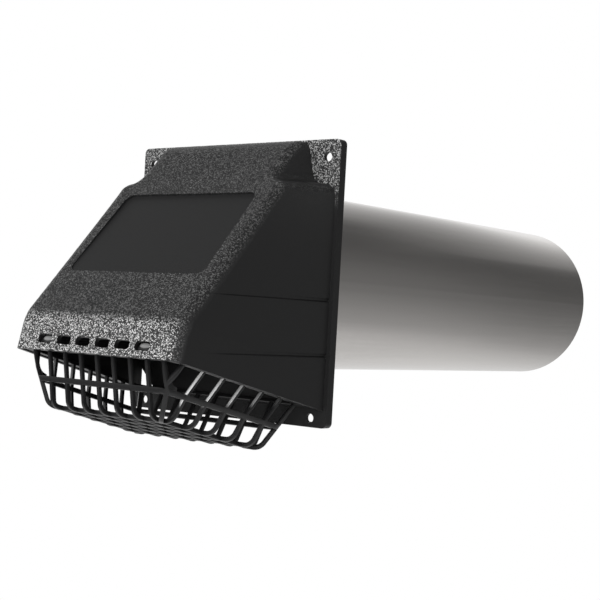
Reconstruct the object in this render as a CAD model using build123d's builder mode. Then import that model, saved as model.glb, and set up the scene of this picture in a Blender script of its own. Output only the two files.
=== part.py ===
from build123d import *
import os
from math import sin, cos, tan, radians, degrees, atan2, hypot

os.makedirs("parts", exist_ok=True)

# Axes: X across, +Y into the wall, +Z up. The wall face is Y = 0 and the pipe axis is X = Z = 0.

# Duct pipe
pipe_diameter = 101.6
pipe_wall = 0.5
pipe_end = 318.0
pipe_gap = 0.3
pipe_bead_position = 13.0
pipe_bead_width = 4.0
pipe_bead_depth = 0.9
seam_width = 6.0
seam_height = 0.8
seam_angle = 200.0

# Flange of the hood
flange_width = 142.5
flange_above = 72.0
flange_below = 77.5
flange_depth = 5.0
flange_skin = 2.0
flange_rim = 2.5
flange_corner = 3.0
screw_hole = 4.8
top_screw_from_side = 8.05
top_screw_from_top = 9.2
bottom_screw_from_side = 10.75
bottom_screw_from_bottom = 4.7

# Hood shell
shell_wall = 2.5
front_width = 115.4
side_ledge = 2.25
hood_projection = 104.5
lip_drop = 44.5
lip_height = 18.4
mouth_tilt = 13.5
slope_angle = 48.1
brow_radius = 20.0
front_edge_radius = 6.2
shoulder_height = 49.0
shoulder_fall = 2.0
shoulder_radius = 7.0
crest_height = 71.5
shoulder_width = 9.7
crest_run = 12.0
crest_draft = 19.0
crest_blend = 6.5
sill_height = 2.5
hood_overrun = 6.0

# Recessed panel in the sloping face
panel_bottom_margin = 9.7
panel_top_margin = 11.2
panel_start = 31.7
panel_length = 59.0
panel_deep = 1.3
panel_shallow = 0.5
panel_corner = 5.0

# Slots in the lip
slot_count = 6
slot_pitch = 13.85
slot_width = 10.1
slot_height = 4.6
slot_corner = 1.8
slot_rise = 5.8

# Stepped lines in the side walls
step_heights = (-11.7, -40.2)
step_band = 2.3
step_run = 55.0
step_start = 0.25
step_depth = 0.8

# Back plate with its collar
plate_clearance = 0.25
plate_corner_cut = 22.0
seat_width = 3.1
seat_height = 3.1
collar_wall = 2.2
collar_length = 24.0
collar_clearance = 0.2
collar_lead = 1.5
bead_clearance = 0.3

# Damper and its hinge
flap_thickness = 1.6
flap_overlap = 4.6
flap_gap = 0.3
flap_rim_width = 2.0
flap_rim_height = 1.6
hinge_height = 58.0
hinge_offset = 5.6
hinge_pin = 3.2
hinge_clearance = 0.3
ear_spread = 48.0
ear_thickness = 3.0
ear_wall = 2.0
arm_spread = 36.0
arm_width = 5.0
arm_foot = 38.0
hub_wall = 0.6
pin_overhang = 1.0

# Bird guard
guard_clearance = 0.35
guard_frame_rise = 0.6
guard_frame_thickness = 2.0
guard_frame_back = 100.5
guard_depth = 26.5
guard_front_set = 4.2
guard_rear_set = 97.0
guard_front_lean = 22.5
guard_rear_lean = 15.5
guard_side_lean = 21.5
guard_front_margin = 5.7
guard_flare = 0.08
guard_bottom_radius = 7.0
guard_corner_radius = 7.5
bar_depth = 2.4
bar_width = 1.7
bar_count = 7
bar_pitch = 11.5
cross_start = 9.1
cross_pitch = 13.8
cross_count = 6
cross_lean = 11.5
band_drop = 11.6
band_height = 2.6
post_width = 2.4
post_foot = 13.0
barb_width = 8.6
barb_height = 3.4
barb_reach = 1.0
barb_skin = 1.3
tab_height = 8.4
tab_thickness = 1.6

# Places worked out from the sizes above
mouth_sin = sin(radians(mouth_tilt))
mouth_cos = cos(radians(mouth_tilt))
mouth_tan = tan(radians(mouth_tilt))
slope_sin = sin(radians(slope_angle))
slope_cos = cos(radians(slope_angle))
slope_tan = tan(radians(slope_angle))
root_width = flange_width - 2 * side_ledge
crest_width = front_width - 2 * shoulder_width
panel_bottom_width = front_width - 2 * panel_bottom_margin
panel_top_width = front_width - 2 * panel_top_margin
guard_front_width = front_width - 2 * guard_front_margin
mouth = Plane(origin=(0, -hood_projection, -lip_drop), x_dir=(1, 0, 0), z_dir=(0, mouth_sin, mouth_cos))
mouth_back = -lip_drop - (hood_projection - flange_depth) * mouth_tan
pipe_radius = pipe_diameter / 2
collar_radius = pipe_radius - pipe_wall - collar_clearance
bore_radius = collar_radius - collar_wall
seat_radius = bore_radius + seat_width
flap_radius = bore_radius + flap_overlap
plate_front = flange_depth - flange_skin
seat_front = plate_front + seat_height
flap_back = seat_front + flap_gap
flange_height = flange_above + flange_below
flange_middle = (flange_above - flange_below) / 2
throat_top = shoulder_height - shell_wall
throat_bottom = mouth_back + sill_height
pocket_width = flange_width - 2 * flange_rim
pocket_height = flange_height - 2 * flange_rim
slot_places = [(i - (slot_count - 1) / 2) * slot_pitch for i in range(slot_count)]
barb_places = (slot_places[0], slot_places[-1])
groove_start = pipe_bead_position - pipe_bead_width / 2 - bead_clearance
groove_end = pipe_bead_position + pipe_bead_width / 2 + bead_clearance
groove_depth = pipe_bead_depth + bead_clearance
bead_start = pipe_bead_position - pipe_bead_width / 2
bead_end = pipe_bead_position + pipe_bead_width / 2
seam_radius = pipe_radius - pipe_wall * 3 / 4 - seam_height / 2
ear_radius = hinge_pin / 2 + hinge_clearance + ear_wall
hub_radius = hinge_pin / 2 + hub_wall
mouth_side = Plane(origin=mouth.origin, x_dir=(0, mouth_cos, -mouth_sin), z_dir=(1, 0, 0))
guard_frame_front = shell_wall + guard_clearance
frame_top = guard_frame_rise + guard_frame_thickness
frame_middle = guard_frame_rise + guard_frame_thickness / 2
band_middle = band_drop + band_height / 2
end_bar = (bar_count + 1) / 2 * bar_pitch
end_bar_back = guard_front_set + band_middle * tan(radians(guard_front_lean)) + guard_corner_radius
barb_bottom = slot_rise - barb_height / 2
barb_tip = shell_wall - barb_reach
top_screw_x = flange_width / 2 - top_screw_from_side
top_screw_z = flange_above - top_screw_from_top
bottom_screw_x = flange_width / 2 - bottom_screw_from_side
bottom_screw_z = bottom_screw_from_bottom - flange_below
screw_places = [
    (-top_screw_x, top_screw_z),
    (top_screw_x, top_screw_z),
    (-bottom_screw_x, bottom_screw_z),
    (bottom_screw_x, bottom_screw_z),
]


# Hood outlines
def side_points(inset):
    """Side view of the hood moved inward by inset: shoulder back and front, brow and lip."""
    lip_y = -hood_projection + inset * mouth_cos
    lip_z = -lip_drop - inset * mouth_sin
    slope_y = -hood_projection + lip_height * mouth_sin + inset * slope_sin
    slope_z = -lip_drop + lip_height * mouth_cos - inset * slope_cos
    brow_z = (slope_z + slope_tan * (lip_y - mouth_tan * lip_z - slope_y)) / (1 - slope_tan * mouth_tan)
    brow_y = lip_y + mouth_tan * (brow_z - lip_z)
    fall = tan(radians(shoulder_fall))
    back_z = shoulder_height - inset
    front_y = (back_z + fall * flange_depth - slope_z + slope_tan * slope_y) / (slope_tan - fall)
    front_z = slope_z + slope_tan * (front_y - slope_y)
    return (-flange_depth, back_z), (front_y, front_z), (brow_y, brow_z), (lip_y, lip_z)


def slope_plane(inset):
    """Plane of the sloping face with its origin on the brow and its Y axis up the slope."""
    brow_y, brow_z = side_points(inset)[2]
    return Plane(origin=(0, brow_y, brow_z), x_dir=(1, 0, 0), z_dir=(0, -slope_sin, slope_cos))


def lip_plane(inset):
    """Plane of the lip face with its origin on the brow and its Y axis up the lip."""
    brow_y, brow_z = side_points(inset)[2]
    return Plane(origin=(0, brow_y, brow_z), x_dir=(1, 0, 0), z_dir=(0, -mouth_cos, mouth_sin))


def side_wall(y, z):
    """Half width of the hood at a place on its side wall."""
    (front_y, front_z), (brow_y, brow_z), (lip_y, lip_z) = side_points(0)[1:]
    if z > brow_z:
        start_y = brow_y + (z - brow_z) / slope_tan
    else:
        start_y = brow_y + (z - brow_z) * mouth_tan
    taper = (root_width - front_width) / 2 / (-flange_depth - start_y)
    return front_width / 2 + taper * (y - start_y)


def frame_half(s):
    """Half width of the guard frame at a distance back from the lip."""
    taper = (root_width - front_width) / 2 / ((hood_projection - flange_depth) / mouth_cos - shell_wall)
    return front_width / 2 - shell_wall + taper * (s - shell_wall) - guard_clearance


def hood_body(inset, extra):
    """Body of the hood: the sloping part and the lip part, each lofted from the flange."""
    (back_y, back_z), (front_y, front_z), (brow_y, brow_z), (lip_y, lip_z) = side_points(inset)
    split_z = brow_z - (-flange_depth - brow_y) * mouth_tan
    slope_length = hypot(front_y - brow_y, front_z - brow_z)
    lip_length = hypot(lip_y - brow_y, lip_z - brow_z) + extra
    low_z = mouth_back - extra
    corner = shoulder_radius - inset
    with BuildPart() as body:
        with BuildSketch(Plane.XZ.offset(flange_depth)) as upper_root:
            with Locations((0, (back_z + split_z) / 2)):
                Rectangle(root_width - 2 * inset, back_z - split_z)
            fillet(upper_root.vertices().sort_by(Axis.Y)[-2:], corner)
        with BuildSketch(slope_plane(inset)) as upper_front:
            with Locations((0, slope_length / 2)):
                Rectangle(front_width - 2 * inset, slope_length)
            fillet(upper_front.vertices().sort_by(Axis.Y)[-2:], corner)
        loft(ruled=True)
        with BuildSketch(Plane.XZ.offset(flange_depth)):
            with Locations((0, (split_z + low_z) / 2)):
                Rectangle(root_width - 2 * inset, split_z - low_z)
        with BuildSketch(lip_plane(inset)):
            with Locations((0, -lip_length / 2)):
                Rectangle(front_width - 2 * inset, lip_length)
        loft(ruled=True)
    return body.part


def crest_half(inset):
    """Half width of the crest on its sloping face, moved inward by inset."""
    draft = radians(crest_draft)
    return crest_width / 2 + inset * tan(draft) - inset / cos(draft)


def hood_crest(inset, back_y):
    """Narrower crest that carries the sloping face up to the top of the flange."""
    front_y, front_z = side_points(inset)[1]
    brow_y, brow_z = side_points(inset)[2]
    top_z = crest_height - inset
    turn_y = -flange_depth - crest_run
    turn_z = brow_z + slope_tan * (turn_y - brow_y)
    foot_z = front_z - shoulder_radius
    foot_y = brow_y + (foot_z - brow_z) / slope_tan
    half = crest_half(inset)
    depth = flange_above - foot_z
    spread = half + depth * tan(radians(crest_draft))
    along = Plane(origin=(0, foot_y, foot_z), x_dir=(1, 0, 0), z_dir=(0, slope_cos, slope_sin))
    with BuildPart() as crest:
        with BuildSketch(Plane.YZ):
            with BuildLine():
                slope = Line((foot_y, foot_z), (turn_y, turn_z))
                TangentArc((turn_y, turn_z), (-flange_depth, top_z), tangent=slope % 1)
                Polyline((-flange_depth, top_z), (back_y, top_z), (back_y, foot_z), (foot_y, foot_z))
            make_face()
        extrude(amount=root_width / 2, both=True)
        # Sides that widen with their depth below the sloping face
        with BuildSketch(along):
            with BuildLine():
                Polyline(
                    (-half, 0),
                    (half, 0),
                    (spread, depth),
                    (-spread, depth),
                    close=True,
                )
            make_face()
        extrude(amount=2 * depth, both=True, mode=Mode.INTERSECT)
    return crest.part


def round_front(form, inset):
    """Round the brow of a hood form and the edge round its sloping face and lip."""
    front_y, front_z = side_points(inset)[1]
    brow_y, brow_z = side_points(inset)[2]
    half = front_width / 2 - inset
    with BuildPart() as rounded:
        add(form)
        brow = rounded.edges().filter_by(Axis.X).sort_by_distance((0, brow_y, brow_z))[0]
        fillet(brow, brow_radius - inset)
        rim = [e for e in rounded.edges() if abs(abs(e.center().X) - half) < 0.01 and e.center().Y < front_y]
        fillet(rim, front_edge_radius - inset)
    return rounded.part


brow_place, lip_place = side_points(0)[2:]
lip_length = hypot(lip_place[0] - brow_place[0], lip_place[1] - brow_place[1])
panel_tilt = degrees(atan2(panel_deep - panel_shallow, panel_length))
panel_floor = slope_plane(0) * Plane(
    origin=(0, panel_start + panel_length / 2, -(panel_deep + panel_shallow) / 2),
    x_dir=(1, 0, 0),
    z_dir=(0, sin(radians(panel_tilt)), cos(radians(panel_tilt))),
)

# Solid form of the hood with its flange
with BuildPart() as outer_form:
    with BuildSketch(Plane.XZ):
        with Locations((0, flange_middle)):
            RectangleRounded(flange_width, flange_height, flange_corner)
    extrude(amount=flange_depth)
    add(hood_body(0, 0))
    add(hood_crest(0, -plate_front))
    # Curved joint between the sides of the crest and the shoulders
    joint_places = [(side * crest_width / 2, -flange_depth - crest_run, shoulder_height) for side in (-1, 1)]
    runs = [e for e in outer_form.edges() if abs((e % 0.5).Y) > 0.9 and e.center().Y > -hood_projection / 2]
    fillet([min(runs, key=lambda e: (e.center() - Vector(*place)).length) for place in joint_places], crest_blend)

# Hollow inside the hood
inner_body = round_front(hood_body(shell_wall, hood_overrun), shell_wall)
with BuildPart() as inner_crest:
    add(hood_crest(shell_wall, 0))
    inner_half = crest_half(shell_wall)
    ridge = [e for e in inner_crest.edges() if abs(abs(e.center().X) - inner_half) < 0.01]
    fillet(ridge, front_edge_radius - shell_wall)

# Hood
with BuildPart() as hood:
    add(round_front(outer_form.part, 0))
    add(inner_body, mode=Mode.SUBTRACT)
    add(inner_crest.part, mode=Mode.SUBTRACT)
    # Opening through the flange, and the pocket behind it for the back plate
    with BuildSketch(Plane.XZ) as throat:
        with Locations((0, (throat_top + throat_bottom) / 2)):
            Rectangle(root_width - 2 * shell_wall, throat_top - throat_bottom)
        fillet(throat.vertices().sort_by(Axis.Y)[-2:], shoulder_radius - shell_wall)
    extrude(amount=flange_depth, mode=Mode.SUBTRACT)
    with BuildSketch(Plane.XZ):
        with Locations((0, flange_middle)):
            Rectangle(pocket_width, pocket_height)
    extrude(amount=plate_front, mode=Mode.SUBTRACT)
    # Screw holes
    with BuildSketch(Plane.XZ):
        with Locations(*screw_places):
            Circle(screw_hole / 2)
    extrude(amount=flange_depth, mode=Mode.SUBTRACT)
    # Recessed panel, deeper at its top
    with BuildSketch(panel_floor) as panel:
        with BuildLine():
            Polyline(
                (-panel_bottom_width / 2, -panel_length / 2),
                (panel_bottom_width / 2, -panel_length / 2),
                (panel_top_width / 2, panel_length / 2),
                (-panel_top_width / 2, panel_length / 2),
                close=True,
            )
        make_face()
        fillet(panel.vertices(), panel_corner)
    extrude(amount=shell_wall, mode=Mode.SUBTRACT)
    # Slots in the lip
    with BuildSketch(lip_plane(0)):
        with Locations(*[(x, slot_rise - lip_length) for x in slot_places]):
            RectangleRounded(slot_width, slot_height, slot_corner)
    extrude(amount=-2 * shell_wall, mode=Mode.SUBTRACT)
    # Grooves inside the lip that the barbs of the guard pass along
    with BuildSketch(mouth.offset(-shell_wall)):
        with Locations(*[(x, (barb_skin + 2 * shell_wall) / 2) for x in barb_places]):
            Rectangle(barb_width + 2 * guard_clearance, 2 * shell_wall - barb_skin)
    extrude(amount=shell_wall + slot_rise, mode=Mode.SUBTRACT)
    # Stepped lines in the side walls
    for height in step_heights:
        with BuildSketch(Plane.XY.offset(height - step_band / 2)):
            with BuildLine():
                Polyline(
                    (side_wall(-flange_depth - step_run, height) - step_start, -flange_depth - step_run),
                    (side_wall(-flange_depth, height) - step_depth, -flange_depth),
                    (side_wall(-flange_depth, height) + step_depth, -flange_depth),
                    (side_wall(-flange_depth - step_run, height) + step_depth, -flange_depth - step_run),
                    close=True,
                )
            make_face()
            mirror(about=Plane.YZ)
        extrude(amount=step_band, mode=Mode.SUBTRACT)
hood.part.label = "hood"
export_step(hood.part, "parts/hood.step")

# Back plate with its seat ring, collar and hinge ears
with BuildPart() as back_plate:
    with BuildSketch(Plane.XZ) as plate_outline:
        with Locations((0, flange_middle)):
            Rectangle(pocket_width - 2 * plate_clearance, pocket_height - 2 * plate_clearance)
        chamfer(plate_outline.vertices(), plate_corner_cut)
    extrude(amount=plate_front)
    with BuildSketch(Plane.XY):
        with BuildLine():
            Polyline(
                (bore_radius, -seat_front),
                (seat_radius, -seat_front),
                (seat_radius, -plate_front),
                (collar_radius, -plate_front),
                (collar_radius, groove_start),
                (collar_radius - groove_depth, groove_start + groove_depth),
                (collar_radius - groove_depth, groove_end - groove_depth),
                (collar_radius, groove_end),
                (collar_radius, collar_length - collar_lead),
                (collar_radius - collar_lead / 2, collar_length),
                (bore_radius, collar_length),
                close=True,
            )
        make_face()
    revolve(axis=Axis.Y)
    with BuildSketch(Plane.XZ):
        Circle(bore_radius)
    extrude(amount=plate_front, mode=Mode.SUBTRACT)
    for x in (-ear_spread / 2, ear_spread / 2):
        with BuildSketch(Plane.YZ.offset(x)):
            with Locations((-hinge_offset, hinge_height)):
                Circle(ear_radius)
            with Locations((-(plate_front + hinge_offset) / 2, hinge_height)):
                Rectangle(hinge_offset - plate_front, 2 * ear_radius)
            with Locations((-hinge_offset, hinge_height)):
                Circle(hinge_pin / 2 + hinge_clearance, mode=Mode.SUBTRACT)
        extrude(amount=ear_thickness / 2, both=True)
back_plate.part.label = "back_plate"
export_step(back_plate.part, "parts/back_plate.step")

# Damper flap with its arms and hinge pin
with BuildPart() as damper_flap:
    with BuildSketch(Plane.XZ.offset(flap_back)):
        Circle(flap_radius)
    extrude(amount=flap_thickness)
    with BuildSketch(Plane.XZ.offset(flap_back)):
        Circle(flap_radius)
        Circle(flap_radius - flap_rim_width, mode=Mode.SUBTRACT)
    extrude(amount=flap_thickness + flap_rim_height)
    for x in (-arm_spread / 2, arm_spread / 2):
        with BuildSketch(Plane.YZ.offset(x)):
            with BuildLine():
                Polyline(
                    (-flap_back, arm_foot),
                    (-flap_back - flap_thickness, arm_foot),
                    (-flap_back - flap_thickness - flap_rim_height, arm_foot + flap_rim_height),
                    (-flap_back - flap_thickness - flap_rim_height, hinge_height - hub_radius - flap_rim_height),
                    (-hinge_offset - hub_radius, hinge_height),
                    (-flap_back, hinge_height),
                    close=True,
                )
            make_face()
            with Locations((-hinge_offset, hinge_height)):
                Circle(hub_radius)
        extrude(amount=arm_width / 2, both=True)
    with BuildSketch(Plane.YZ):
        with Locations((-hinge_offset, hinge_height)):
            Circle(hinge_pin / 2)
    extrude(amount=ear_spread / 2 + ear_thickness / 2 + pin_overhang, both=True)
damper_flap.part.label = "damper_flap"
export_step(damper_flap.part, "parts/damper_flap.step")


# Bird guard
def guard_outline(level, inset):
    """Four corners of the basket at a level below the mouth, moved inward by inset."""
    front = guard_front_set + level * tan(radians(guard_front_lean)) + inset
    rear = guard_rear_set - level * tan(radians(guard_rear_lean)) - inset
    side = guard_front_width / 2 - level * tan(radians(guard_side_lean)) - inset
    half_front = side + guard_flare * (front - guard_front_set)
    half_rear = side + guard_flare * (rear - guard_front_set)
    return [(-half_front, front), (half_front, front), (half_rear, rear), (-half_rear, rear)]


def basket(inset, top):
    """Closed form of the basket, moved inward by inset and reaching up to top."""
    floor = guard_depth - inset
    with BuildPart() as form:
        with BuildSketch(mouth.offset(top)):
            Polygon(*guard_outline(-top, inset), align=None)
        with BuildSketch(mouth.offset(-floor)):
            Polygon(*guard_outline(floor, inset), align=None)
        loft(ruled=True)
        levels = [(e, mouth.to_local_coords(e.center()).Z) for e in form.edges()]
        fillet([e for e, level in levels if abs(level - (top - floor) / 2) < 1], guard_corner_radius - inset)
        levels = [(e, mouth.to_local_coords(e.center()).Z) for e in form.edges()]
        fillet([e for e, level in levels if level < 0.01 - floor], guard_bottom_radius - inset)
    return form.part


def cross_points(place, foot):
    """Outline of a cross bar seen from the side: leaning above the band, upright down to its foot."""
    top = place + (band_middle + frame_middle) * tan(radians(cross_lean))
    return [
        (top - bar_width / 2, frame_middle),
        (top + bar_width / 2, frame_middle),
        (place + bar_width / 2, -band_middle),
        (place + bar_width / 2, -foot),
        (place - bar_width / 2, -foot),
        (place - bar_width / 2, -band_middle),
    ]


outer_basket = basket(0, frame_top)
inner_basket = basket(bar_depth, frame_top + guard_clearance)

with BuildPart() as lattice:
    # Bars that fan out from the front to the rear
    with BuildSketch(mouth.offset(-guard_depth)):
        for i in range(bar_count):
            x = (i - (bar_count - 1) / 2) * bar_pitch
            spread = x * (1 + guard_frame_back * 2 * guard_flare / guard_front_width)
            with BuildLine():
                Polyline(
                    (x - bar_width / 2, 0),
                    (x + bar_width / 2, 0),
                    (spread + bar_width / 2, guard_frame_back),
                    (spread - bar_width / 2, guard_frame_back),
                    close=True,
                )
            make_face()
    extrude(amount=guard_depth + frame_middle)
    # First bars across the sides, which end at the band
    for side in (-1, 1):
        with BuildSketch(mouth_side.offset(side * end_bar)):
            Polygon(*cross_points(cross_start, band_drop + band_height), align=None)
        extrude(amount=side * (root_width / 2 - end_bar))
    # Bars across the sides and the floor
    with BuildSketch(mouth_side):
        for i in range(1, cross_count):
            Polygon(*cross_points(cross_start + i * cross_pitch, guard_depth), align=None)
    extrude(amount=root_width / 2, both=True)
    # Band round the basket at half its depth
    with BuildSketch(mouth.offset(-band_drop - band_height)):
        with Locations((0, guard_frame_back / 2)):
            Rectangle(root_width, guard_frame_back)
    extrude(amount=band_height)
    # End bars of the front face, down to the band
    with BuildSketch(mouth.offset(-band_middle)):
        with Locations((-end_bar, end_bar_back / 2), (end_bar, end_bar_back / 2)):
            Rectangle(bar_width, end_bar_back)
    extrude(amount=band_middle + frame_middle)
    # Posts along the corners: below the band in front, over the whole height behind
    for (x1, s1), (x2, s2) in zip(guard_outline(0, 0), guard_outline(guard_depth, 0)):
        turn = atan2(s2 - s1, x2 - x1)
        post_top = frame_middle if s1 > s2 else -band_middle
        with BuildSketch(mouth.offset(-guard_depth)):
            with Locations(Location((x2 + post_foot * cos(turn), s2 + post_foot * sin(turn)), degrees(turn))):
                Rectangle(root_width / 2, post_width, align=(Align.MAX, Align.CENTER))
        extrude(amount=guard_depth + post_top)

with BuildPart() as bird_guard:
    add(outer_basket)
    add(inner_basket, mode=Mode.SUBTRACT)
    add(lattice.part, mode=Mode.INTERSECT)
    # Flat frame that lies inside the mouth of the hood
    with BuildSketch(mouth.offset(guard_frame_rise)) as frame_outline:
        with BuildLine():
            Polyline(
                (-frame_half(guard_frame_front), guard_frame_front),
                (frame_half(guard_frame_front), guard_frame_front),
                (frame_half(guard_frame_back), guard_frame_back),
                (-frame_half(guard_frame_back), guard_frame_back),
                close=True,
            )
        make_face()
        fillet(frame_outline.vertices().sort_by(Axis.Y)[:2], front_edge_radius - shell_wall + guard_clearance)
    extrude(amount=guard_frame_thickness)
    add(inner_basket, mode=Mode.SUBTRACT)
    # Front tabs with the barbs that snap into the end slots
    for x in barb_places:
        with BuildSketch(mouth_side.offset(x)):
            with BuildLine():
                Polyline(
                    (guard_frame_front, guard_frame_rise),
                    (guard_frame_front, barb_bottom),
                    (barb_tip, barb_bottom),
                    (barb_tip, barb_bottom + barb_height / 3),
                    (guard_frame_front, barb_bottom + barb_height),
                    (guard_frame_front, tab_height),
                    (guard_frame_front + tab_thickness, tab_height),
                    (guard_frame_front + tab_thickness, guard_frame_rise),
                    close=True,
                )
            make_face()
        extrude(amount=barb_width / 2, both=True)
bird_guard.part.label = "bird_guard"
export_step(bird_guard.part, "parts/bird_guard.step")

# Duct pipe with its rolled bead and lock seam
with BuildPart() as duct_pipe:
    with BuildSketch(Plane.XY):
        with BuildLine():
            Polyline(
                (pipe_radius, pipe_gap),
                (pipe_radius, bead_start),
                (pipe_radius - pipe_bead_depth, bead_start + pipe_bead_depth),
                (pipe_radius - pipe_bead_depth, bead_end - pipe_bead_depth),
                (pipe_radius, bead_end),
                (pipe_radius, pipe_end),
                (pipe_radius - pipe_wall, pipe_end),
                (pipe_radius - pipe_wall, bead_end),
                (pipe_radius - pipe_wall - pipe_bead_depth, bead_end - pipe_bead_depth),
                (pipe_radius - pipe_wall - pipe_bead_depth, bead_start + pipe_bead_depth),
                (pipe_radius - pipe_wall, bead_start),
                (pipe_radius - pipe_wall, pipe_gap),
                close=True,
            )
        make_face()
    revolve(axis=Axis.Y)
    with BuildSketch(Plane.XZ.offset(-collar_length)):
        with PolarLocations(seam_radius, 1, start_angle=seam_angle):
            Rectangle(seam_height + pipe_wall / 2, seam_width)
    extrude(amount=collar_length - pipe_end)
duct_pipe.part.label = "duct_pipe"
export_step(duct_pipe.part, "parts/duct_pipe.step")
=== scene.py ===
from math import cos, pi, radians, sin

import bmesh
import bpy
from bpy.props import FloatProperty, FloatVectorProperty, PointerProperty
from mathutils import Matrix, Vector


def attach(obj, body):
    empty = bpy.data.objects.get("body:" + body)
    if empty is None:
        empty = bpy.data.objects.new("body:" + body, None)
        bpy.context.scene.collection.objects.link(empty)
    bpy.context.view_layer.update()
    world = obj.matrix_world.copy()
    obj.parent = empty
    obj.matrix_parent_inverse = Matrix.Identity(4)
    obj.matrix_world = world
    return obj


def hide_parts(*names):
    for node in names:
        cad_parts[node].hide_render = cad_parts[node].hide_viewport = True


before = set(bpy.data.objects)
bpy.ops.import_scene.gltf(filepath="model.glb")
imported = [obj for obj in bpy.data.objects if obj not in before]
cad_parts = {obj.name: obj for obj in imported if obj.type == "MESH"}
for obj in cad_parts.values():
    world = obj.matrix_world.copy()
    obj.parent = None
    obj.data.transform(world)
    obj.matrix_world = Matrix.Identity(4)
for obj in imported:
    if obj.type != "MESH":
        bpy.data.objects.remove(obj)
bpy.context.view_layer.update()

bl_info = {
    "name": "Dryer Vent Cap",
    "version": (1, 0, 0),
    "blender": (4, 5, 0),
    "location": "View3D > Sidebar > Vent Cap",
    "description": "Finishes a wall vent hood with a bird guard and a duct pipe",
    "category": "Object",
}

MM = 0.001

# In the pairs below a mask is 0 under the first value and 1 over the second.

# Sloping face: a point on the upper edge of its panel, and its outward and upward directions
SLOPE_ANGLE = radians(48.1)
SLOPE_POINT = Vector((0.0, -39.5, 41.0)) * MM
SLOPE_NORMAL = Vector((0.0, -sin(SLOPE_ANGLE), cos(SLOPE_ANGLE)))
SLOPE_UP = Vector((0.0, cos(SLOPE_ANGLE), sin(SLOPE_ANGLE)))

# Recessed panel: its sides, its ends up the slope, and its floor under the sloping face
PANEL_SIDE = (48.0 * MM, 48.4 * MM)
PANEL_FOOT = (-59.8 * MM, -59.4 * MM)
PANEL_TOP = (-0.4 * MM, 0.4 * MM)
PANEL_DEPTH = (-0.4 * MM, -0.2 * MM)

# Grain: how far a grained face may turn to the side and must turn forward, and which cells are
# raised.
# The raised cells carry painted glints: full on upright faces, a part on the slope, less on the
# flange
GRAIN_SIDEWAYS = (0.72, 1.0)
GRAIN_FORWARD = (0.10, 0.45)
GRAIN_CELLS = (0.55, 0.95)
GLINT_UPRIGHT = (0.78, 0.95)
GLINT_ON_SLOPE = 0.155
GLINT_OFF_FLANGE = 0.40

# Flange: where its front face lies, and between which heights it becomes grained; below them it
# has neither grain nor painted glints, as painted shade
FLANGE_FRONT = (-6.2 * MM, -5.5 * MM)
FLANGE_GRAIN_AND_GLINT = (34.0 * MM, 52.0 * MM)

# Steps in the side walls: heights, painted shade line to each side of them, where it begins
STEP_HEIGHTS = (-12.2 * MM, -40.6 * MM)
STEP_SHADE_WIDTH = (0.1 * MM, 0.5 * MM)
STEP_BEGIN = (-90.0 * MM, -68.0 * MM)
STEP_SIDEWAYS = (0.60, 0.80)
STEP_SHADE_COLOUR = (0.001, 0.001, 0.001, 1)
STEP_ROUGHNESS = 0.45

# Roughness of each plastic, and what grain, shade or flow of the moulding adds to it
HOOD_ROUGHNESS = 0.38
GRAIN_ROUGHNESS = 0.08
SHADE_ROUGHNESS = 0.05
BACK_PLATE_ROUGHNESS = 0.40
FLAP_ROUGHNESS = 0.36
GUARD_ROUGHNESS = 0.30
TIP_ROUGHNESS = 0.08
FLOW_ROUGHNESS = 0.08
FLOW_LIGHTER = 1.5
PLASTIC_IOR = 1.48
FINE_RELIEF = 0.01 * MM

# Sheet metal: stretch of its streaks, darkest part of its colour, what the patterns add
STREAK_STRETCH = (1.0, 0.03, 1.0)
METAL_DARKER = 0.86
STREAK_ROUGHNESS = 0.07
CLOUD_ROUGHNESS = 0.05

# Painted highlights on the edges of the guard: forward faces of the side bars above the band,
# which fade towards the wall and on the side away from the key lamp
EDGE_FORWARD = (0.78, 0.90)
EDGE_SIDE = (45.0 * MM, 46.5 * MM)
EDGE_BEGIN = (-92.0 * MM, -88.0 * MM)
EDGE_END = (-75.0 * MM, -15.0 * MM)
EDGE_FOOT = (-68.0 * MM, -64.0 * MM)
EDGE_FAR_SIDE = (0.0, 10.0 * MM)
EDGE_LOST = 0.8

# Lip with its slots: lower edge, direction up the lip and direction inward
LIP_ANGLE = radians(13.5)
LIP_FOOT = Vector((0.0, -104.5, -44.5)) * MM
LIP_UP = Vector((0.0, sin(LIP_ANGLE), cos(LIP_ANGLE)))
LIP_INWARD = Vector((0.0, cos(LIP_ANGLE), -sin(LIP_ANGLE)))

# Barb tips: place to each side, up the lip and inward, and half sizes inward and up
TIP_PLACE = 34.625 * MM
TIP_RISE = 6.1 * MM
TIP_INWARD = 2.2 * MM
TIP_HALF_DEPTH = 0.9 * MM
TIP_HALF_HEIGHT = 1.7 * MM

# Meshes: gaps that are merged before and after the rounding, and what is flat or sharp
MERGE_GAP = 0.05 * MM
WELD_GAP = 0.002 * MM
FLAT_ANGLE = radians(3)
SHARP_ANGLE = radians(40)

# Camera of the studio: where it stands, and its right, up and back directions
CAMERA_PLACE = Vector((479.03, -541.59, -23.26)) * MM
CAMERA_RIGHT = Vector((0.78022041, 0.62296959, 0.05625831))
CAMERA_UP = Vector((-0.03366576, -0.04798767, 0.99828042))
CAMERA_BACK = Vector((0.62459805, -0.78077274, -0.01646822))
CAMERA_LENS = 78.809
CAMERA_SENSOR = 36.0

# Lamps of the studio: place and side of the square in metres, power in watts
LAMP_AIM = Vector((0, -0.05, 0))
LAMPS = {
    "key": ((-0.70, -1.05, 0.45), 1.0, 12),
    "fill": ((0.35, -1.20, 0.40), 0.9, 13),
    "top": ((0.1, -0.3, 1.3), 1.0, 0.7),
    "side": ((1.2, -0.2, 0.4), 0.8, 0.8),
}

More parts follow.
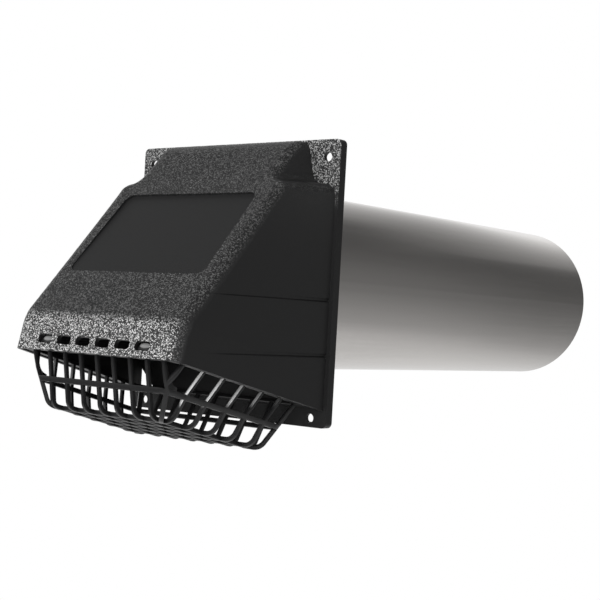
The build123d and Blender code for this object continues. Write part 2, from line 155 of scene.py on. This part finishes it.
# Light of the studio walls, by the part of a turn: left wall, top, right wall, floor
ROOM_LIGHT = (
    (0.00, 1.00), (0.06, 1.00), (0.09, 0.69), (0.15, 0.42), (0.20, 0.27), (0.233, 0.21),
    (0.28, 0.165), (0.45, 0.165), (0.50, 0.17), (0.54, 0.225), (0.59, 0.285), (0.64, 0.345),
    (0.69, 0.49), (0.75, 0.585), (0.83, 0.68), (0.92, 0.74), (1.00, 0.90),
)
# The walls turn by a part of a turn towards the far end of the room
WALL_SLIDE = 0.115
WALL_SLIDES = (0.83, 0.90)
# Screen in front of the top and the right wall: its slanting edge, its end and its shade
SCREEN_SLIDE = 0.092
SCREEN_SLIDES = (0.795, 0.86)
SCREEN_EDGE = (0.228, 0.243)
SCREEN_END = (0.33, 0.50)
SCREEN_SHADE = 0.5
# Room in front of the hood: plain light, light of its bright band, and the band's ends
FRONT_LIGHT = 0.05
FRONT_BAND = 0.75
FRONT_BAND_FOOT = (-0.20, 0.15)
FRONT_BAND_TOP = (0.30, 0.65)
FAR_ROOM = (0.0, 0.4)
# Light of the room on matt faces
ROOM_GLOW = 0.45

# Floor: roughness, and the part of its radius from which it fades
FLOOR_ROUGHNESS = 0.9
FLOOR_FADE = 0.45


# Sizes and colours that a user would change
def colour_of(name, description, default):
    return FloatVectorProperty(
        name=name, description=description, subtype="COLOR", size=3, min=0, max=1,
        default=default)


def length_of(name, description, low, high, default):
    return FloatProperty(
        name=name, description=description, subtype="DISTANCE", unit="LENGTH",
        min=low, max=high, default=default, precision=5)


class HoodFinish(bpy.types.PropertyGroup):
    colour: colour_of("Plastic", "Colour of the moulded hood", (0.0135, 0.0135, 0.0137))
    # Light grey of the painted glints on the raised grain
    grain_glint: colour_of(
        "Grain", "Colour of the raised grain where it catches the light", (0.58, 0.58, 0.576))
    grain: length_of(
        "Grain size", "Size of one grain of the moulded texture", 0.0001, 0.005, 0.00047)
    relief: length_of("Grain depth", "Depth of the moulded texture", 0, 0.001, 0.00012)


class GuardFinish(bpy.types.PropertyGroup):
    colour: colour_of("Plastic", "Colour of the bird guard", (0.010, 0.010, 0.0103))
    # Light grey of the painted highlights on the bars' edges
    edge_highlight_colour: colour_of(
        "Edges", "Colour of the bars' edges where they catch the light", (0.68, 0.68, 0.68))
    edge_radius: length_of(
        "Edge radius", "Rounding of the edges of the bars", 0.0001, 0.0005, 0.0003)
    # Light grey of the barb tips, a painted glint lighter than the guard's own plastic
    tip_glint_colour: colour_of(
        "Barb tips", "Colour of the barb tips where they catch the light", (0.12, 0.12, 0.12))
    tip_width: length_of(
        "Barb tip width", "Width of the rounded tips in the outer slots", 0.002, 0.009, 0.0076)


class PipeFinish(bpy.types.PropertyGroup):
    colour: colour_of("Metal", "Colour of the bare sheet metal", (0.815, 0.787, 0.760))
    roughness: FloatProperty(
        name="Roughness", description="How soft the reflections in the sheet are",
        min=0, max=1, default=0.12)


class StageLook(bpy.types.PropertyGroup):
    floor_colour: colour_of("Floor", "Colour of the studio floor", (0.85, 0.85, 0.85))
    floor_drop: length_of("Floor drop", "How far the floor lies below the duct", 0.2, 2, 0.5)
    floor_radius: length_of(
        "Floor radius", "Where the floor has faded into the white room", 0.2, 3, 0.9)


# Shader maths
class Field:
    """A socket of a node tree that can be used in Python expressions."""

    def __init__(self, tree, socket):
        self.tree = tree
        self.socket = socket

    def node(self, kind, settings=None, **inputs):
        """Adds a node: its settings first, then its inputs by socket name or as _number."""
        made = self.tree.nodes.new(kind)
        for name, value in (settings or {}).items():
            if name == "stops":
                ramp = made.color_ramp
                while len(ramp.elements) < len(value):
                    ramp.elements.new(0.5)
                for element, (place, grey) in zip(ramp.elements, value):
                    element.position = place
                    element.color = (grey, grey, grey, 1)
            else:
                setattr(made, name, value)
        for name, value in inputs.items():
            key = int(name[1:]) if name[1:].isdigit() else name.replace("_", " ")
            self.plug(made.inputs[key], value)
        return made

    def plug(self, socket, value):
        """Links a field or a socket to a socket, or sets its value."""
        if isinstance(value, Field):
            self.tree.links.new(value.socket, socket)
        elif isinstance(value, bpy.types.NodeSocket):
            self.tree.links.new(value, socket)
        else:
            socket.default_value = value

    def math(self, operation, *values):
        inputs = {f"_{index}": value for index, value in enumerate(values)}
        made = self.node("ShaderNodeMath", {"operation": operation}, **inputs)
        return Field(self.tree, made.outputs[0])

    def __add__(self, other):
        return self.math("ADD", self, other)

    def __sub__(self, other):
        return self.math("SUBTRACT", self, other)

    def __mul__(self, other):
        return self.math("MULTIPLY", self, other)

    def __truediv__(self, other):
        return self.math("DIVIDE", self, other)

    def __radd__(self, other):
        return self.math("ADD", other, self)

    def __rsub__(self, other):
        return self.math("SUBTRACT", other, self)

    def __rmul__(self, other):
        return self.math("MULTIPLY", other, self)

    def __rtruediv__(self, other):
        return self.math("DIVIDE", other, self)

    def __neg__(self):
        return self.math("MULTIPLY", self, -1)

    def __abs__(self):
        return self.math("ABSOLUTE", self)

    def step(self, low, high):
        """0 below low, 1 above high, and smooth between them."""
        made = self.node(
            "ShaderNodeMapRange", {"interpolation_type": "SMOOTHSTEP"},
            Value=self, From_Min=low, From_Max=high, To_Min=0.0, To_Max=1.0)
        return Field(self.tree, made.outputs[0])


def new_material(name):
    """A material with a cleared tree, an empty field of it, and its Principled shader."""
    material = bpy.data.materials.new(name)
    material.use_nodes = True
    tree = material.node_tree
    tree.nodes.clear()
    start = Field(tree, None)
    shader = start.node("ShaderNodeBsdfPrincipled")
    output = start.node("ShaderNodeOutputMaterial")
    start.plug(output.inputs[0], shader.outputs[0])
    return material, start, shader


def parts_of(start, socket):
    """X, Y and Z of a vector socket."""
    split = start.node("ShaderNodeSeparateXYZ", None, Vector=socket)
    return [Field(start.tree, out) for out in split.outputs]


def object_coords(start):
    return start.node("ShaderNodeTexCoord").outputs["Object"]


def face_normal(start):
    return start.node("ShaderNodeNewGeometry").outputs["Normal"]


def noise(start, coords, scale, detail=2.0, roughness=0.5):
    made = start.node(
        "ShaderNodeTexNoise", None,
        Vector=coords, Scale=scale, Detail=detail, Roughness=roughness)
    return Field(start.tree, made.outputs[0])


def mix_colour(start, factor, low, high):
    made = start.node("ShaderNodeMix", {"data_type": "RGBA"}, Factor=factor, _6=low, _7=high)
    return made.outputs[2]


def set_bump(start, shader, height, distance):
    bump = start.node("ShaderNodeBump", None, Height=height, Distance=distance, Strength=1.0)
    start.plug(shader.inputs["Normal"], bump.outputs[0])


def hood_material(look):
    """Moulded plastic: grained on front, top and flange, smooth on the sides and in the panel,
    with painted glints on the grain and painted shade along the steps.
    """
    material, start, shader = new_material("hood_plastic")
    coords = object_coords(start)
    x, y, z = parts_of(start, coords)
    across, back, _ = parts_of(start, face_normal(start))
    sideways, forward = abs(across), -back
    on_flange = y.step(*FLANGE_FRONT)

    depth = (y - SLOPE_POINT.y) * SLOPE_NORMAL.y + (z - SLOPE_POINT.z) * SLOPE_NORMAL.z
    along = (y - SLOPE_POINT.y) * SLOPE_UP.y + (z - SLOPE_POINT.z) * SLOPE_UP.z
    in_panel = (
        (1 - depth.step(*PANEL_DEPTH)) * (1 - abs(x).step(*PANEL_SIDE))
        * along.step(*PANEL_FOOT) * (1 - along.step(*PANEL_TOP))
    )

    # The flange keeps its grain and painted glints only beside the crest; lower down it stays
    # dark as painted shade
    outward = (1 - sideways.step(*GRAIN_SIDEWAYS)) * forward.step(*GRAIN_FORWARD)
    grained = outward * (1 - in_panel) * (1 - on_flange * (1 - z.step(*FLANGE_GRAIN_AND_GLINT)))
    cells = start.node("ShaderNodeTexVoronoi", None, Vector=coords, Scale=1 / look.grain)
    raised = parts_of(start, cells.outputs["Color"])[0].step(*GRAIN_CELLS) * grained
    # Painted light: the glints are full on upright faces turned to the key lamp, weaker on the
    # slope and on the flange
    glint_strength = GLINT_ON_SLOPE + (1 - GLINT_ON_SLOPE) * forward.step(*GLINT_UPRIGHT)
    glint_strength = glint_strength * (1 - GLINT_OFF_FLANGE * on_flange)
    colour = mix_colour(start, raised * glint_strength, (*look.colour, 1), (*look.grain_glint, 1))
    shade = noise(start, coords, scale=14.0)
    roughness = HOOD_ROUGHNESS + grained * GRAIN_ROUGHNESS + shade * SHADE_ROUGHNESS
    set_bump(start, shader, raised, look.relief)

    # Painted shade: dark lines where the side walls step in
    on_side = sideways.step(*STEP_SIDEWAYS) * y.step(*STEP_BEGIN) * (1 - on_flange)
    for height in STEP_HEIGHTS:
        step_shade = (1 - abs(z - height).step(*STEP_SHADE_WIDTH)) * on_side
        colour = mix_colour(start, step_shade, colour, STEP_SHADE_COLOUR)
        roughness = roughness + step_shade * STEP_ROUGHNESS
    start.plug(shader.inputs["Base Color"], colour)
    start.plug(shader.inputs["Roughness"], roughness)
    shader.inputs["IOR"].default_value = PLASTIC_IOR
    return material


def smooth_material(name, colour, roughness):
    """Smooth moulded plastic with a faint flow pattern."""
    material, start, shader = new_material(name)
    coords = object_coords(start)
    flow = noise(start, coords, scale=60.0, detail=3.0)
    lighter = tuple(min(1.0, part * FLOW_LIGHTER) for part in colour)
    mixed = mix_colour(start, flow, (*colour, 1), (*lighter, 1))
    start.plug(shader.inputs["Base Color"], mixed)
    start.plug(shader.inputs["Roughness"], roughness + flow * FLOW_ROUGHNESS)
    set_bump(start, shader, noise(start, coords, scale=900.0, detail=1.0), FINE_RELIEF)
    shader.inputs["IOR"].default_value = PLASTIC_IOR
    return material


def guard_material(look):
    """Smooth plastic, with painted highlights on the forward edges of the side bars."""
    material = smooth_material("guard_plastic", tuple(look.colour), GUARD_ROUGHNESS)
    start = Field(material.node_tree, None)
    x, y, z = parts_of(start, object_coords(start))
    forward = -parts_of(start, face_normal(start))[1]
    painted_highlight = (
        forward.step(*EDGE_FORWARD) * abs(x).step(*EDGE_SIDE) * z.step(*EDGE_FOOT)
        * y.step(*EDGE_BEGIN) * (1 - y.step(*EDGE_END))
        * (1 - EDGE_LOST * (-x).step(*EDGE_FAR_SIDE))
    )
    socket = material.node_tree.nodes["Principled BSDF"].inputs["Base Color"]
    plain = socket.links[0].from_socket
    start.plug(socket, mix_colour(start, painted_highlight, plain, (*look.edge_highlight_colour, 1)))
    return material


def pipe_material(look):
    """Bare rolled sheet, with faint streaks along the pipe and a slow change of sheen."""
    material, start, shader = new_material("duct_metal")
    coords = object_coords(start)
    stretched = start.node("ShaderNodeMapping", None, Vector=coords, Scale=STREAK_STRETCH)
    streak = noise(start, stretched.outputs[0], scale=420.0, detail=3.0, roughness=0.6)
    cloud = noise(start, coords, scale=9.0)
    darker = tuple(part * METAL_DARKER for part in look.colour)
    mixed = mix_colour(start, streak * 0.5 + cloud * 0.5, (*darker, 1), (*look.colour, 1))
    roughness = look.roughness + streak * STREAK_ROUGHNESS + cloud * CLOUD_ROUGHNESS
    start.plug(shader.inputs["Base Color"], mixed)
    start.plug(shader.inputs["Roughness"], roughness)
    set_bump(start, shader, streak, FINE_RELIEF)
    shader.inputs["Metallic"].default_value = 1.0
    return material


def rounded_copy(node, width):
    """A merged copy of the mesh of a node, with its outward edges rounded."""
    shape = bmesh.new()
    shape.from_mesh(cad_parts[node].data)
    bmesh.ops.remove_doubles(shape, verts=shape.verts, dist=MERGE_GAP)
    bmesh.ops.dissolve_degenerate(shape, dist=MERGE_GAP, edges=shape.edges)
    bmesh.ops.dissolve_limit(
        shape, angle_limit=FLAT_ANGLE, verts=shape.verts, edges=shape.edges)
    sharp = [
        edge for edge in shape.edges
        if len(edge.link_faces) == 2 and edge.is_convex and edge.calc_face_angle() > SHARP_ANGLE
    ]
    # The edges are short, so the bevel isn't clamped to them
    bmesh.ops.bevel(
        shape, geom=sharp, offset=width, offset_type="OFFSET", affect="EDGES", segments=2,
        profile=0.5, material=-1, clamp_overlap=False)
    bmesh.ops.remove_doubles(shape, verts=shape.verts, dist=WELD_GAP)
    bmesh.ops.recalc_face_normals(shape, faces=shape.faces)
    return shape


def paint(mesh, material):
    """Gives a mesh one material."""
    mesh.materials.clear()
    mesh.materials.append(material)


def dress(node, material):
    """Gives a node of the frame its material."""
    paint(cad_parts[node].data, material)


def add_piece(name, shape, material, body):
    """An object that rides on a body of the frame, smooth but for its sharp edges."""
    for face in shape.faces:
        face.smooth = True
    for edge in shape.edges:
        edge.smooth = edge.calc_face_angle(0) < SHARP_ANGLE
    mesh = bpy.data.meshes.new(name)
    shape.to_mesh(mesh)
    shape.free()
    if "custom_normal" in mesh.attributes:
        mesh.attributes.remove(mesh.attributes["custom_normal"])
    paint(mesh, material)
    piece = bpy.data.objects.new(name, mesh)
    bpy.context.scene.collection.objects.link(piece)
    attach(piece, body)
    return piece


def placed(place, right, up, back):
    """The matrix of an object at a place, turned to three directions."""
    return Matrix.Translation(place) @ Matrix((right, up, back)).transposed().to_4x4()


# Operators
class VENT_OT_hood(bpy.types.Operator):
    """Finish the hood as grained and smooth moulded plastic"""

    bl_idname = "vent.hood"
    bl_label = "Hood"

    def execute(self, context):
        dress("hood", hood_material(context.scene.vent_hood))
        return {"FINISHED"}


class VENT_OT_back_plate(bpy.types.Operator):
    """Finish the back plate and the damper flap behind the hood"""

    bl_idname = "vent.back_plate"
    bl_label = "Back plate and damper"

    def execute(self, context):
        colour = tuple(context.scene.vent_hood.colour)
        dress("back_plate", smooth_material("back_plate_plastic", colour, BACK_PLATE_ROUGHNESS))
        dress("damper_flap", smooth_material("flap_plastic", colour, FLAP_ROUGHNESS))
        return {"FINISHED"}


class VENT_OT_guard(bpy.types.Operator):
    """Round the edges of the bird guard and the tips of its barbs, and finish them"""

    bl_idname = "vent.guard"
    bl_label = "Bird guard"

    def execute(self, context):
        look = context.scene.vent_guard
        shape = rounded_copy("bird_guard", look.edge_radius)
        guard = add_piece(
            "guard_bars", shape, guard_material(look), "guard")
        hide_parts("bird_guard")

        shape = bmesh.new()
        middle = LIP_FOOT + LIP_UP * TIP_RISE + LIP_INWARD * TIP_INWARD
        size = Matrix.Diagonal((look.tip_width / 2, TIP_HALF_DEPTH, TIP_HALF_HEIGHT, 1))
        for side in (-1, 1):
            place = middle + Vector((side * TIP_PLACE, 0, 0))
            bmesh.ops.create_uvsphere(
                shape, u_segments=32, v_segments=16, radius=1,
                matrix=placed(place, Vector((1, 0, 0)), LIP_INWARD, LIP_UP) @ size)
        # The tips' light grey is a painted glint
        shine = smooth_material("barb_plastic", tuple(look.tip_glint_colour), TIP_ROUGHNESS)
        shine.node_tree.nodes["Principled BSDF"].inputs["Coat Weight"].default_value = 1.0
        add_piece("barb_tips", shape, shine, "guard")
        return {"FINISHED"}


class VENT_OT_pipe(bpy.types.Operator):
    """Finish the duct pipe as bare rolled sheet"""

    bl_idname = "vent.pipe"
    bl_label = "Duct pipe"

    def execute(self, context):
        dress("duct_pipe", pipe_material(context.scene.vent_pipe))
        return {"FINISHED"}


def area_light(name, place, size, power):
    """A soft square box that shines on the object and doesn't show in reflections."""
    data = bpy.data.lights.new(name, "AREA")
    data.size = size
    data.energy = power
    lamp = bpy.data.objects.new(name, data)
    bpy.context.scene.collection.objects.link(lamp)
    lamp.visible_glossy = False
    turn = (place - LAMP_AIM).to_track_quat("Z", "Y").to_matrix().to_4x4()
    lamp.matrix_world = Matrix.Translation(place) @ turn


def studio_world():
    """White to the camera, and a room with a bright and a dark side in reflections."""
    world = bpy.data.worlds.new("studio")
    bpy.context.scene.world = world
    world.use_nodes = True
    tree = world.node_tree
    tree.nodes.clear()
    start = Field(tree, None)
    x, y, z = parts_of(start, start.node("ShaderNodeTexCoord").outputs["Generated"])
    ray = start.node("ShaderNodeLightPath").outputs
    # Turn round the room from its left wall, over the top and down to the floor again
    around = start.math("WRAP", start.math("ARCTAN2", z, -x) / (2 * pi), 1.0, 0.0)
    slid = around - abs(y).step(*WALL_SLIDES) * WALL_SLIDE
    ramp = start.node("ShaderNodeValToRGB", {"stops": ROOM_LIGHT}, Fac=slid)
    walls = Field(tree, ramp.outputs[0])
    edge = around - abs(y).step(*SCREEN_SLIDES) * SCREEN_SLIDE
    screen = edge.step(*SCREEN_EDGE) * (1 - slid.step(*SCREEN_END))
    band = z.step(*FRONT_BAND_FOOT) * (1 - z.step(*FRONT_BAND_TOP))
    front = FRONT_LIGHT + FRONT_BAND * band
    far = y.step(*FAR_ROOM)
    shine = far * walls * (1 - SCREEN_SHADE * screen) + (1 - far) * front
    glossy = Field(tree, ray["Is Glossy Ray"])
    seen = start.math("MAXIMUM", ray["Is Camera Ray"], ray["Is Transmission Ray"])
    level = glossy * shine + (1 - glossy) * ROOM_GLOW
    strength = seen + (1 - seen) * level
    back = start.node("ShaderNodeBackground", None, Color=(1, 1, 1, 1), Strength=strength)
    output = start.node("ShaderNodeOutputWorld")
    start.plug(output.inputs[0], back.outputs[0])


def floor_material(look):
    """Matt paint that fades out with distance and shows only from above."""
    material, start, shader = new_material("floor_paint")
    shader.inputs["Base Color"].default_value = (*look.floor_colour, 1)
    shader.inputs["Roughness"].default_value = FLOOR_ROUGHNESS
    x, y, _ = parts_of(start, object_coords(start))
    away = start.math("SQRT", x * x + y * y)
    faded = 1 - away.step(look.floor_radius * FLOOR_FADE, look.floor_radius)
    below = Field(start.tree, start.node("ShaderNodeNewGeometry").outputs["Backfacing"])
    start.plug(shader.inputs["Alpha"], faded * (1 - below))
    return material


class VENT_OT_stage(bpy.types.Operator):
    """Set up the studio floor, the lamps, the background and the camera"""

    bl_idname = "vent.stage"
    bl_label = "Stage"

    def execute(self, context):
        look = context.scene.vent_stage
        context.scene.view_settings.view_transform = "Standard"
        studio_world()

        mesh = bpy.data.meshes.new("floor")
        shape = bmesh.new()
        bmesh.ops.create_grid(shape, x_segments=1, y_segments=1, size=look.floor_radius)
        bmesh.ops.translate(shape, vec=(0, 0, -look.floor_drop), verts=shape.verts)
        shape.to_mesh(mesh)
        shape.free()
        paint(mesh, floor_material(look))
        floor = bpy.data.objects.new("floor", mesh)
        context.scene.collection.objects.link(floor)

        for name, (place, size, power) in LAMPS.items():
            area_light(name, Vector(place), size, power)

        data = bpy.data.cameras.new("camera")
        data.lens = CAMERA_LENS
        data.sensor_width = CAMERA_SENSOR
        camera = bpy.data.objects.new("camera", data)
        context.scene.collection.objects.link(camera)
        camera.matrix_world = placed(CAMERA_PLACE, CAMERA_RIGHT, CAMERA_UP, CAMERA_BACK)
        context.scene.camera = camera
        return {"FINISHED"}


class VENT_PT_sidebar(bpy.types.Panel):
    """Sizes, colours and pieces of the vent cap"""

    bl_idname = "VENT_PT_sidebar"
    bl_label = "Vent Cap"
    bl_space_type = "VIEW_3D"
    bl_region_type = "UI"
    bl_category = "Vent Cap"

    def draw(self, context):
        for name, (group, operators) in SECTIONS.items():
            box = self.layout.box()
            settings = getattr(context.scene, name)
            for prop in group.__annotations__:
                box.prop(settings, prop)
            for operator in operators:
                box.operator(operator.bl_idname)


SECTIONS = {
    "vent_hood": (HoodFinish, (VENT_OT_hood, VENT_OT_back_plate)),
    "vent_guard": (GuardFinish, (VENT_OT_guard,)),
    "vent_pipe": (PipeFinish, (VENT_OT_pipe,)),
    "vent_stage": (StageLook, (VENT_OT_stage,)),
}


def register():
    for name, (group, operators) in SECTIONS.items():
        bpy.utils.register_class(group)
        setattr(bpy.types.Scene, name, PointerProperty(type=group))
        for operator in operators:
            bpy.utils.register_class(operator)
    bpy.utils.register_class(VENT_PT_sidebar)


def unregister():
    bpy.utils.unregister_class(VENT_PT_sidebar)
    for name, (group, operators) in reversed(SECTIONS.items()):
        for operator in operators:
            bpy.utils.unregister_class(operator)
        delattr(bpy.types.Scene, name)
        bpy.utils.unregister_class(group)


def main():
    register()
    bpy.ops.vent.hood()
    bpy.ops.vent.back_plate()
    bpy.ops.vent.guard()
    bpy.ops.vent.pipe()
    bpy.ops.vent.stage()


if __name__ == "__main__":
    main()
